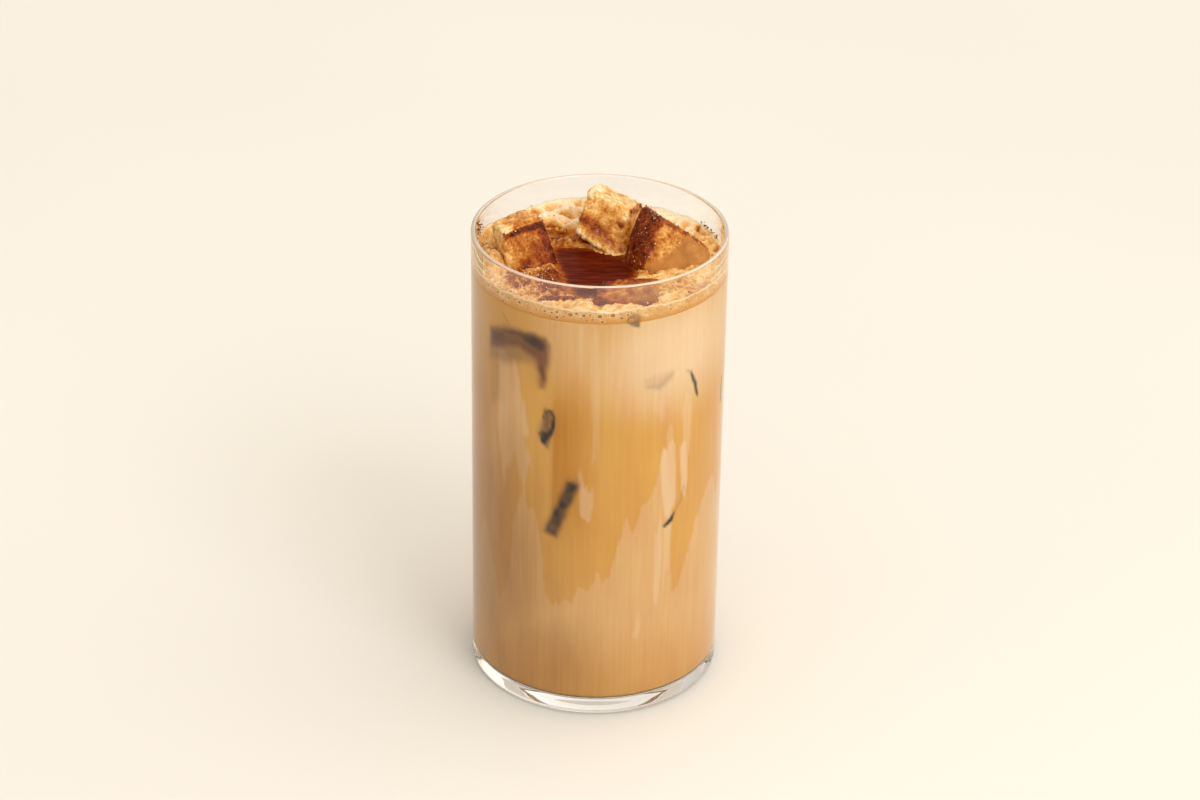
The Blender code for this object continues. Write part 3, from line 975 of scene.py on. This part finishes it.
def ice_block(name):
    """A finely divided block in millimetres, and its points in the unit cube."""
    top, foot, seed = ICE_BLOCKS[name]
    block = bmesh.new()
    bmesh.ops.create_cube(block, size=1.0)
    bmesh.ops.subdivide_edges(block, edges=block.edges[:], cuts=ICE_CUTS, use_grid_fill=True)
    cube = []
    for vertex in block.verts:
        p = Vector([towards_edge(c) for c in vertex.co])
        cube.append(p.copy())
        norm = sum(abs(c) ** ICE_ROUNDING for c in p) ** (1 / ICE_ROUNDING)
        vertex.co = between((top, foot), p * (0.5 / norm))
    block.normal_update()
    return block, np.array(cube), seed


print("points on a block:", 6 * (ICE_CUTS + 1) ** 2 + 2)

# %% [markdown]
# How a block is dusted differs from face to face, so each block has its own rule, written
# with the cube's coordinates: u runs to the right, v to the back and w upwards, from -0.5 to
# 0.5. A rule gives three strengths: dark powder, pale frost, and how wet and smooth it is.
# On the right block's left side, turned from the lamp, the dark powder is partly painted shade.

# %% How each block is dusted
def dust_left(u, v, w, cloud):
    """Caramel grain, with a thin dark ridge along its top front edge and a dark right side."""
    ridge = soft_step(0.06 - np.abs(w - 0.45), 0.0, 0.03) * soft_step(-v, 0.36, 0.44) * 0.9
    right_side = soft_step(u + 0.15 * cloud - 0.2 * w, 0.0, 0.4) * 0.75 * (1 - soft_step(w, 0.46, 0.5))
    low_patch = soft_step(0.3 - np.hypot(u + 0.1, (w + 0.05) * 1.6), 0.0, 0.2) * (v < -0.3) * 0.6
    powder = np.maximum(np.maximum(ridge, right_side), low_patch)
    return powder, 0.6 * soft_step(w, 0.46, 0.5) + 0.9 * soft_step(-u, 0.1, 0.5), 0 * u


def dust_back(u, v, w, cloud):
    """Golden grain: a dark line at the top's right edge, a spot, and a dark band low in front."""
    strip = soft_step(u, 0.38, 0.47) * soft_step(w, 0.34, 0.46) * 0.9
    spot = soft_step(0.11 - np.hypot(u - 0.30, (w - 0.16) * 1.6), 0.0, 0.07) * (v < -0.3)
    low = 0.95 * soft_step(0.34 - np.abs(w + 0.16) * 1.6, 0.0, 0.3) * soft_step(-v, 0.3, 0.45)
    low *= soft_step(0.3 - u, 0, 0.4)
    foot = 0.5 * (1 - soft_step(w, -0.44, -0.34))
    left_face = 0.4 * soft_step(-u, 0.1, 0.5)
    return np.maximum(np.maximum(strip, spot), low), foot + 0.5 * soft_step(w, 0.1, 0.4) + left_face, 0 * u


def dust_right(u, v, w, cloud):
    """A left side dark with powder and painted shade, a sparkling middle and a smooth wet face on the
    right.
    """
    # The left side, turned from the lamp, is darkened by powder and by painted shade.
    powder_and_shade_left = 1 - soft_step(u + 0.10 * cloud, -0.48, -0.36)
    top_edge = soft_step(w, 0.42, 0.48) * 0.75 * (1 - soft_step(u, 0.3, 0.5))
    powder = np.maximum(powder_and_shade_left * 0.9, top_edge)
    melt_line = -0.46 + 0.4 * soft_step(w, -0.15, 0.5)
    wet = soft_step(u + 0.08 * cloud, melt_line, melt_line + 0.14) * (v < 0.3)
    wet *= 1 - soft_step(w, 0.44, 0.49)
    frost = soft_step(u, -0.44, -0.28) * soft_step(w, -0.2, 0.2)
    return powder * (1 - wet), 0.5 * frost, 0.9 * wet


def dust_front(u, v, w, cloud):
    """A smooth, wet brown top, darker and a little grainy at its left and back edges."""
    powder = 0.7 * soft_step(v + 0.1 * cloud, 0.15, 0.45) + 0.6 * soft_step(-u + 0.2 * cloud, 0.2, 0.5)
    front = 0.5 * soft_step(-v, 0.3, 0.45)
    frost = 0.2 * soft_step(u + 0.2 * cloud, 0.0, 0.4)
    wet = 0.45 * soft_step(u + 0.2 * cloud, -0.1, 0.3)
    return powder + front, frost, wet


DUSTING = {"ice_left": dust_left, "ice_back": dust_back, "ice_right": dust_right, "ice_front": dust_front}

# %% [markdown]
# Ice has an index of 1.31. It melts, so a thin film of water makes it shine, and that is the
# coat. Under it is powder frozen to the block in grains of about a millimetre, from dark red
# brown to cream. So the colour is a ramp over noise of that size, over patches of 3 mm and
# over the relief, which is painted shade: hollows are painted dark, crests pale. Powder pulls
# it down and frost up, and the wet face is one smooth tone, a little mottled.

# %% Dusted ice material
def dusted_ice(name, level, tones, wet_tone):
    """Ice under frozen powder, whose tones run from the darkest powder to white frost."""
    material, tree, shader = new_material(name, {
        "Roughness": 0.35, "IOR": 1.31, "Specular IOR Level": 0.1,
        "Coat Weight": 0.25, "Coat Roughness": 0.05,
        "Subsurface Weight": 0.12, "Subsurface Radius": (1.0, 0.5, 0.25), "Subsurface Scale": 0.8 * MM,
    })
    place = add(tree, "TexCoord")
    fine = add(tree, "TexNoise", {
        "Vector": place.outputs["Object"], "Scale": 1 / (0.7 * MM), "Detail": 5.0, "Roughness": 0.6,
    })
    patches = add(tree, "TexNoise", {
        "Vector": place.outputs["Object"], "Scale": 1 / (3.2 * MM), "Detail": 3.0,
    })
    masks = {
        mask: add(tree, "Attribute", attribute_name=mask).outputs["Fac"]
        for mask in ("powder", "frost", "wet", "relief")
    }
    # Crests are painted paler and hollows darker, a painted shade over the relief.
    value = level - 0.2
    for source, share in (
        (fine.outputs["Fac"], 0.7), (patches.outputs["Fac"], 0.75),
        (masks["relief"], 0.12), (masks["powder"], -0.36), (masks["frost"], 0.3),
    ):
        value = add(tree, "Math", {0: source, 1: share, 2: value}, operation="MULTIPLY_ADD").outputs[0]
    stops = zip((0.08, 0.26, 0.45, 0.62, 0.8, 0.97), map(linear, tones))
    grain = add(tree, "ValToRGB", {0: value}, list(stops))
    melted = add(tree, "ValToRGB", {0: patches.outputs["Fac"]}, [(0.3, 0.38), (0.7, 0.66)])
    film = add(tree, "Mix", {0: 0.6, 6: linear(wet_tone), 7: melted.outputs[0]},
               data_type="RGBA", blend_type="OVERLAY")
    wetted = add(tree, "Mix", {0: masks["wet"], 6: grain.outputs[0], 7: film.outputs[2]}, data_type="RGBA")
    tree.links.new(wetted.outputs[2], shader.inputs["Base Color"])
    bump = add(tree, "Bump", {"Height": fine.outputs["Fac"], "Distance": 0.28 * MM})
    dry = add(tree, "Math", {0: 0.8, 1: masks["wet"]}, operation="SUBTRACT", use_clamp=True)
    tree.links.new(dry.outputs[0], bump.inputs["Strength"])
    tree.links.new(bump.outputs[0], shader.inputs["Normal"])
    return material


DUST_TONES = ["#4E1602", "#843206", "#AC5C14", "#CC8A38", "#EBB86C", "#FFE9C0"]
ICE_MATERIALS = {
    "ice_left": dusted_ice("caramel_ice", -0.06, DUST_TONES, "#C49A6C"),
    "ice_back": dusted_ice("golden_ice", 0.1, DUST_TONES, "#D9AE78"),
    "ice_right": dusted_ice("beige_ice", -0.02, DUST_TONES, "#B2783A"),
    "ice_front": dusted_ice("brown_ice", -0.04, DUST_TONES, "#925C2C"),
}

# %% Ice
SOFT_WAVE = 0.7
SOFT_WAVE_LENGTH = 7.0
GRAIN_HEIGHT = 0.2

ice_pieces = {}
for name in ICE_BLOCKS:
    block, cube, seed = ice_block(name)
    at = np.array([v.co[:] for v in block.verts])
    normals = np.array([v.normal[:] for v in block.verts])
    u, v, w = cube.T
    cloud = ripple(at, 4.0, seed + 40)
    powder, frost, wet = DUSTING[name](u, v, w, cloud)
    crests = 0.5 - 3 * np.abs(ripple(at, 2.4, seed + 45))
    relief = 0.5 * crests + 0.8 * ripple(at, 1.2, seed + 50) + 0.5 * ripple(at, 0.7, seed + 60)
    grain = GRAIN_HEIGHT * relief * (1 - 0.85 * wet)
    soft = SOFT_WAVE * ripple(at, SOFT_WAVE_LENGTH, seed)
    moved = at + normals * (soft + grain)[:, None]
    for vertex, place in zip(block.verts, moved):
        vertex.co = Vector(place) * MM
    piece = from_bmesh(name + "_block", block)
    for mask_name, values in (("powder", powder), ("frost", frost), ("wet", wet), ("relief", relief)):
        give(piece, mask_name, values)
    ice_pieces[name] = dress(piece, ICE_MATERIALS[name], name, name)

# %% [markdown]
# ## Loose grains
# Real powder lies on the ice and the froth as separate grains, which break the outline, and
# a few cling to the glass above the froth. It is roasted coffee that was ground, so each
# grain is a small rough lump, matt, and dark to golden brown. One mesh holds them all. Points
# are drawn from the meshes they lie on, more often where the powder's strength is high. The
# draw is seeded, so that the result is the same each time.

# %% Scatter grains
LUMP = bmesh.new()
bmesh.ops.create_icosphere(LUMP, subdivisions=1, radius=1.0)
LUMP_POINTS = np.array([v.co[:] for v in LUMP.verts])
LUMP_FACES = np.array([[v.index for v in f.verts] for f in LUMP.faces])
LUMP.free()


def scattered(name, centres, radii, generator, rough):
    """One mesh of small lumps at the centres, all in millimetres."""
    count = len(centres)
    jitter = 1 + rough * generator.uniform(-1, 1, (count, len(LUMP_POINTS), 1))
    squash = 1 + rough * generator.uniform(-0.6, 0.6, (count, 1, 3))
    points = centres[:, None, :] + LUMP_POINTS[None] * jitter * squash * radii[:, None, None]
    faces = LUMP_FACES[None] + (np.arange(count) * len(LUMP_POINTS))[:, None, None]
    return new_piece(name, (points.reshape(-1, 3) * MM).tolist(), faces.reshape(-1, 3).tolist())


DRAW_SPREAD = 0.15
ICE_SHOWS_FROM = 130.3


def drawn_from(piece, weights, count):
    """Points near the piece's own, drawn by weight, in millimetres."""
    at = np.array([v.co[:] for v in piece.data.vertices]) / MM
    picks = generator.choice(len(at), count, p=weights / weights.sum())
    return at[picks] + generator.normal(0, DRAW_SPREAD, (count, 3))


def drawn_on_ice(counts, mask, weigh):
    """Points on each block above the froth, weighed by the strength of one of its masks."""
    for name, count in counts.items():
        piece = ice_pieces[name]
        strength = np.empty(len(piece.data.vertices), dtype=np.float32)
        piece.data.attributes[mask].data.foreach_get("value", strength)
        heights = np.array([v.co.z for v in piece.data.vertices]) / MM
        yield drawn_from(piece, weigh(strength) * (heights > ICE_SHOWS_FROM), count)


generator = np.random.default_rng(17)
powder_counts = {"ice_left": 200, "ice_back": 90, "ice_right": 260, "ice_front": 20}
powder_places = list(drawn_on_ice(powder_counts, "powder", lambda strength: (0.02 + strength) ** 2))
brown_froth = np.clip(-tone, 0, 1) * (fz > 129.6) * ~on_side
powder_places.append(drawn_from(froth, brown_froth ** 2 + 0.001 * (fz > 130), 500))
on_glass = generator.normal((-103, 135.2), (2.6, 1.8), (56, 2))
more_on_glass = generator.normal((117, 132.6), (5, 0.4), (24, 2))
stuck = np.concatenate([on_glass, more_on_glass])
powder_places.append(on_wall(stuck[:, 0], stuck[:, 1], INNER_RADIUS - 0.1 * MM))
powder_places = np.concatenate(powder_places)
powder_sizes = generator.uniform(0.10, 0.30, len(powder_places))
grains = scattered("coffee_powder", powder_places, powder_sizes, generator, 0.45)

ground_coffee, tree, shader = new_material("ground_coffee", {"Roughness": 0.6, "IOR": 1.45})
place = add(tree, "TexCoord")
mottle = add(tree, "TexNoise", {"Vector": place.outputs["Object"], "Scale": 1 / (1.2 * MM), "Detail": 2.0})
tint = add(tree, "ValToRGB", {0: mottle.outputs["Fac"]}, [
    (0.35, linear("#6A2A08")), (0.55, linear("#8E4A12")), (0.7, linear("#B87430")),
])
tree.links.new(tint.outputs[0], shader.inputs["Base Color"])
dress(grains, ground_coffee, "dark_coffee")

# %% [markdown]
# Between the grains sit tiny beads of froth and melt water, and each one catches the light.
# They are the sparkle of the top. They are drawn the same way, smaller and smoother, with a
# glossy material whose pale, nearly white colour is partly painted highlight, and they lie
# thickest at the front left. Real ones are finer than a pixel, so these are as coarse as they
# need to be to show, up to 0.46 mm wide.

# %% Scatter beads
bead_counts = {"ice_left": 200, "ice_back": 70, "ice_right": 200, "ice_front": 20}
bead_places = list(drawn_on_ice(bead_counts, "wet", lambda wetness: 1 - 0.95 * wetness))
open_froth = (fz > 129.8) * ~on_side * (0.2 + 1.0 * (fx < -12) * (fy < 4)) * (1 - 0.6 * brown_froth)
bead_places.append(drawn_from(froth, open_froth, 4200))
bead_places = np.concatenate(bead_places)
bead_sizes = 0.06 + 0.17 * generator.random(len(bead_places)) ** 2
beads = scattered("froth_beads", bead_places, bead_sizes, generator, 0.12)

pale_beads_painted_sparkle, tree, shader = new_material("pale_beads_painted_sparkle", {
    "Roughness": 0.25, "IOR": 1.33, "Coat Weight": 0.8, "Coat Roughness": 0.04,
})
place = add(tree, "TexCoord")
mottle = add(tree, "TexNoise", {"Vector": place.outputs["Object"], "Scale": 1 / (1.5 * MM), "Detail": 2.0})
# The palest, nearly white stop is partly a painted highlight, the beads' sparkle.
tint = add(tree, "ValToRGB", {0: mottle.outputs["Fac"]}, [
    (0.35, linear("#B2702E")), (0.48, linear("#E2B272")), (0.62, linear("#FFF2DC")),
])
tree.links.new(tint.outputs[0], shader.inputs["Base Color"])
dress(beads, pale_beads_painted_sparkle, "milk_froth")

# %% [markdown]
# ## Bubbles against the wall
# Seen through the glass, the froth is a band of bubbles pressed flat. Each is a ring: a light
# rim round a darker middle. So each one is a shallow dome on the froth's side, reaching a
# little way into the glass, and the distance from its middle is stored for the material.
# Glass and liquid lie against the film, so little light bounces off it: its index is 1.2.

# %% Wall bubbles
BUBBLE_SIDES = 14
BUBBLE_RINGS = (1.0, 0.82, 0.6, 0.3)
BUBBLE_FOOT = FROTH_RADIUS - 0.05
BUBBLE_BULGE = 0.16
BUBBLE_SQUASH = 0.85
BUBBLE_TRIES = 2600
BUBBLE_CEILING = 132.0
MM_PER_DEGREE = 0.61


def wall_bubbles(name, places):
    """Domes on the inner wall at azimuths, heights and radii in mm, as one mesh."""
    points, faces, reach = [], [], []
    for a, z, size in places:
        start = len(points)
        for share in BUBBLE_RINGS:
            bulge = BUBBLE_FOOT + BUBBLE_BULGE * math.sqrt(1 - share * share * 0.98)
            for k in range(BUBBLE_SIDES):
                turn = 2 * math.pi * k / BUBBLE_SIDES
                step = math.degrees(size * share * math.cos(turn) / FROTH_RADIUS)
                angle = math.radians(a + step)
                high = z + size * share * BUBBLE_SQUASH * math.sin(turn)
                points.append((bulge * math.sin(angle) * MM, -bulge * math.cos(angle) * MM, high * MM))
                reach.append(share)
        angle = math.radians(a)
        bulge = BUBBLE_FOOT + BUBBLE_BULGE
        points.append((bulge * math.sin(angle) * MM, -bulge * math.cos(angle) * MM, z * MM))
        reach.append(0.0)
        for ring in range(len(BUBBLE_RINGS) - 1):
            low, top = start + ring * BUBBLE_SIDES, start + (ring + 1) * BUBBLE_SIDES
            for k in range(BUBBLE_SIDES):
                n = (k + 1) % BUBBLE_SIDES
                faces.append((low + k, low + n, top + n, top + k))
        crown = start + (len(BUBBLE_RINGS) - 1) * BUBBLE_SIDES
        tip = len(points) - 1
        for k in range(BUBBLE_SIDES):
            faces.append((crown + k, crown + (k + 1) % BUBBLE_SIDES, tip))
        faces.append(tuple(start + k for k in reversed(range(BUBBLE_SIDES))))
    piece = new_piece(name, points, faces, 50)
    give(piece, "reach", reach)
    return piece


bubble_places = [
    (-18.7, 131.0, 0.6), (-12.5, 130.7, 0.95), (-9.8, 131.2, 0.6), (-6.5, 130.8, 0.75), (-2.5, 129.7, 0.5),
    (0.6, 130.7, 0.95), (6.3, 131.0, 0.9), (10.3, 130.0, 0.7), (13.0, 130.9, 0.5), (-15.4, 129.9, 0.45),
]
taken = list(bubble_places)
for _ in range(BUBBLE_TRIES):
    a, z = generator.uniform(-180, 180), generator.uniform(128.9, 131.9)
    size = 0.12 + 0.6 * generator.random() ** 4
    clear = all(
        math.hypot(((a - b + 180) % 360 - 180) * MM_PER_DEGREE, z - y) > size + other
        for b, y, other in taken
    )
    if clear and z + size < BUBBLE_CEILING:
        taken.append((a, z, size))
bubbles = wall_bubbles("wall_bubbles", taken)

pressed_bubbles, tree, shader = new_material("pressed_bubbles", {"Roughness": 0.3, "IOR": 1.2})
reach = add(tree, "Attribute", attribute_name="reach")
rings = add(tree, "ValToRGB", {0: reach.outputs["Fac"]}, [
    (0.0, linear("#D29A50")), (0.55, linear("#8A4E1A")),
    (0.78, linear("#FBDCA4")), (1.0, linear("#D8A45C")),
])
tree.links.new(rings.outputs[0], shader.inputs["Base Color"])
dress(bubbles, pressed_bubbles, "milk_froth")
print("wall bubbles:", len(taken))

# %% [markdown]
# ## Floor, light and camera
# The drink stands on a seamless cream sweep under one large soft lamp from the front right,
# with a bright room around it. A plain plane of matt cream paper and a wide area lamp give
# that: the lamp's width makes the shadow's edge as soft as it is, and the room's light keeps
# it pale. Light crosses many surfaces in a glass, so more bounces are allowed than usual.

# %% Floor
FLOOR_SIZE = 6.0
AIR_FILM = 0.05 * MM
floor_piece = new_piece("floor", [
    (x * FLOOR_SIZE / 2, y * FLOOR_SIZE / 2, -AIR_FILM) for x, y in ((-1, -1), (1, -1), (1, 1), (-1, 1))
], [(0, 1, 2, 3)])
cream_paper, tree, shader = new_material("cream_paper", {"Roughness": 0.9, "Specular IOR Level": 0.1})
place = add(tree, "TexCoord")
wash = add(tree, "TexNoise", {"Vector": place.outputs["Object"], "Scale": 4.0, "Detail": 1.0})
tint = add(tree, "ValToRGB", {0: wash.outputs["Fac"]}, [(0.3, linear("#EAE8E1")), (0.7, linear("#EDEBE4"))])
tree.links.new(tint.outputs[0], shader.inputs["Base Color"])
floor_piece.data.materials.append(cream_paper)
floor_piece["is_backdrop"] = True

# %% Light
KEY_AZIMUTH = math.radians(38)
KEY_ELEVATION = math.radians(46)
KEY_DISTANCE = 1.3
KEY_SIZE = 0.62
KEY_WATTS = 4.2
KEY_AIM = Vector((0, 0, 70 * MM))
ROOM_DARK = 0.34
ROOM_BRIGHT = 1.48
ROOM_SIDE = Vector((0.86, -0.22, 0.46)).normalized()
BOUNCES = 24

towards = Vector((
    math.sin(KEY_AZIMUTH) * math.cos(KEY_ELEVATION),
    -math.cos(KEY_AZIMUTH) * math.cos(KEY_ELEVATION),
    math.sin(KEY_ELEVATION),
))
room = bpy.data.worlds.new("room")
bpy.context.scene.world = room
room.use_nodes = True
tree = room.node_tree
facing = add(tree, "TexCoord")
side = add(tree, "VectorMath", {0: facing.outputs["Generated"], 1: ROOM_SIDE}, operation="DOT_PRODUCT")
level = add(tree, "MapRange", {
    "Value": side.outputs["Value"], "From Min": -1.0, "From Max": 1.0,
    "To Min": ROOM_DARK, "To Max": ROOM_BRIGHT,
})
background = tree.nodes["Background"]
background.inputs["Color"].default_value = linear("#FFF6EA")
tree.links.new(level.outputs[0], background.inputs["Strength"])

lamp = bpy.data.lights.new("key", "AREA")
lamp.shape = "DISK"
lamp.size = KEY_SIZE
lamp.energy = KEY_WATTS
lamp.color = linear("#FBFAFC")[:3]
key = bpy.data.objects.new("key", lamp)
key.location = KEY_AIM + towards * KEY_DISTANCE
key.rotation_euler = towards.to_track_quat("Z", "Y").to_euler()
bpy.context.scene.collection.objects.link(key)
bpy.context.scene.view_settings.view_transform = "Standard"
for limit in ("max_bounces", "glossy_bounces", "transmission_bounces", "transparent_max_bounces"):
    setattr(bpy.context.scene.cycles, limit, BOUNCES)

# %% [markdown]
# The camera looks down at 29 degrees from almost a metre, through a long lens. It is turned
# by just under a degree, as the photographer's was.

# %% Camera
ELEVATION = math.radians(29.125)
ROLL = math.radians(0.918)
DISTANCE = 0.97374
LENS = 100.64
AIM = Vector((0.00094, 0.013037))

back = Vector((0, -math.cos(ELEVATION), math.sin(ELEVATION)))
right = Vector((1, 0, 0))
up = Vector((0, math.sin(ELEVATION), math.cos(ELEVATION)))
across = right * math.cos(ROLL) + up * math.sin(ROLL)
upward = -right * math.sin(ROLL) + up * math.cos(ROLL)
lens = bpy.data.cameras.new("camera")
lens.lens = LENS
lens.sensor_width = 36
camera = bpy.data.objects.new("camera", lens)
pose = Matrix((across, upward, back)).transposed().to_4x4()
pose.translation = Vector((0, 0, GLASS_HEIGHT / 2)) + back * DISTANCE + across * AIM.x + upward * AIM.y
camera.matrix_world = pose
bpy.context.scene.collection.objects.link(camera)
bpy.context.scene.camera = camera
print("camera at", [round(c, 3) for c in pose.translation])

# %% [markdown]
# The looks must not outgrow the model, so the box of all that is drawn is printed.

# %% Compare the boxes
visual_box = [list(corner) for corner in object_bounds()]
print("visual box:", [[round(c / MM, 2) for c in corner] for corner in visual_box])
